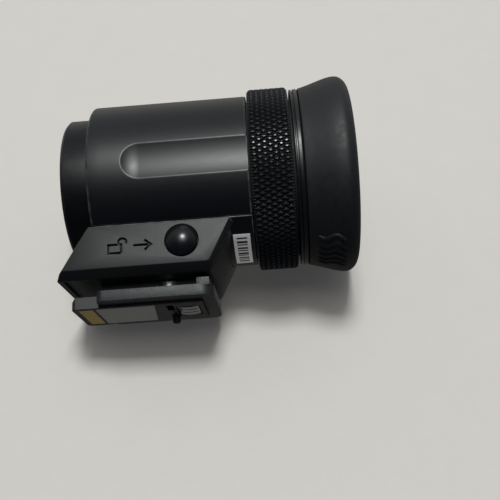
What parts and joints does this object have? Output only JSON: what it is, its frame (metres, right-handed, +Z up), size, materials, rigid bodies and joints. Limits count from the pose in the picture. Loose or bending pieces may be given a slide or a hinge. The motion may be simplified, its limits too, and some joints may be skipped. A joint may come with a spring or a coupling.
{
  "type": "clip-on electronic viewfinder",
  "caption": "Round clip-on electronic viewfinder with a tilting barrel, knurled dioptre ring, rubber eyecup and a locking hot-shoe foot with a release button, lying on its side.",
  "frame": {"origin": "on the table under the middle of the overall box, with the finder lying on its side", "axes": "+Z up from the table, +X along the barrel towards the eyecup (raised 3 degrees by the eyecup), -Y towards the shoe foot"},
  "size_m": [0.0554, 0.0448, 0.0376],
  "materials": {
    "barrel": "satin black, fine orange-peel moulding",
    "front_cap": "smooth black, semi-gloss",
    "label": "light grey printed film, blank",
    "dark_steel": "blackened steel",
    "inner_plastic": "matte black, baffled",
    "sheet_metal": "plain sheet steel",
    "display_glass": "dark display under clear cover",
    "circuit_board": "green solder mask",
    "flex_film": "amber polyimide film",
    "knurled_metal": "black-anodised, glossy, diamond-knurled",
    "gloss_trim": "polished black",
    "eyecup_rubber": "soft matte black",
    "lens_glass": "coated optical glass",
    "brass_pins": "turned brass",
    "base_plastic": "fine-textured charcoal, a shade lighter than the barrel",
    "connector_plastic": "black glass-filled moulding",
    "foot_metal": "satin dark grey",
    "bright_metal": "plain nickel-plated metal",
    "gold": "gold-plated contacts",
    "gloss_button": "glossy black dome",
    "spring_steel": "bright spring wire"
  },
  "bodies": {
    "base": {"base_housing": "base_plastic", "base_chassis": "sheet_metal", "base_board": "circuit_board", "board_connector": "connector_plastic", "hinge_pins": "dark_steel", "friction_washers": "sheet_metal", "shoe_foot": "foot_metal", "contact_block": "connector_plastic", "ground_plate": "bright_metal", "plug_contacts": "gold", "ground_spring": "bright_metal", "rail_springs": "bright_metal", "foot_screws": "dark_steel", "button_spring": "spring_steel"},
    "barrel": {"barrel_upper_shell": "barrel", "barrel_lower_cover": "barrel", "front_cap": "front_cap", "serial_label": "label", "cover_screws": "dark_steel", "optics_chassis": "inner_plastic", "display_frame": "sheet_metal", "display_panel": "display_glass", "display_board": "circuit_board", "display_flex": "flex_film", "guide_tube": "inner_plastic", "trim_ring": "gloss_trim", "eyecup_mount": "inner_plastic", "eyecup": "eyecup_rubber"},
    "dioptre_ring": {"dioptre_ring": "knurled_metal"},
    "lens_group": {"lens_carrier": "inner_plastic", "eyepiece_lens": "lens_glass", "field_lens": "lens_glass", "lens_retainer": "inner_plastic", "follower_pins": "brass_pins"},
    "release_button": {"unlock_button": "gloss_button", "release_slide": "inner_plastic"},
    "lock": {"lock_pin": "connector_plastic", "lock_dowel": "dark_steel"}
  },
  "joints": [
    {"name": "barrel_tilt", "type": "hinge", "parent": "base", "child": "barrel", "pos_m": [-0.0221, -0.01021, 0.01297], "axis": [-0.0519, -0.2339, 0.9709], "range_deg": [0, 90]},
    {"name": "dioptre_turn", "type": "hinge", "parent": "barrel", "child": "dioptre_ring", "pos_m": [0.01178, 0.0036, 0.01811], "axis": [0.9986, 0, 0.0534], "range_deg": [-50, 50]},
    {"name": "lens_focus", "type": "slide", "parent": "barrel", "child": "lens_group", "axis": [0.9986, 0, 0.0534], "range_m": [-0.001, 0.001]},
    {"name": "button_press", "type": "slide", "parent": "base", "child": "release_button", "axis": [0.0519, 0.2339, -0.9709], "range_m": [0, 0.001], "stiffness_N_per_m": 300, "springref_m": -0.002, "deforming": ["button_spring"]},
    {"name": "lock_lift", "type": "slide", "parent": "base", "child": "lock", "axis": [-0.0125, 0.9723, 0.2336], "range_m": [0, 0.0016]}
  ],
  "couplings": [
    {"joint": "lens_focus", "follows": "dioptre_turn", "m_per_rad": -0.0011459},
    {"joint": "lock_lift", "follows": "button_press", "ratio": 1.6}
  ]
}
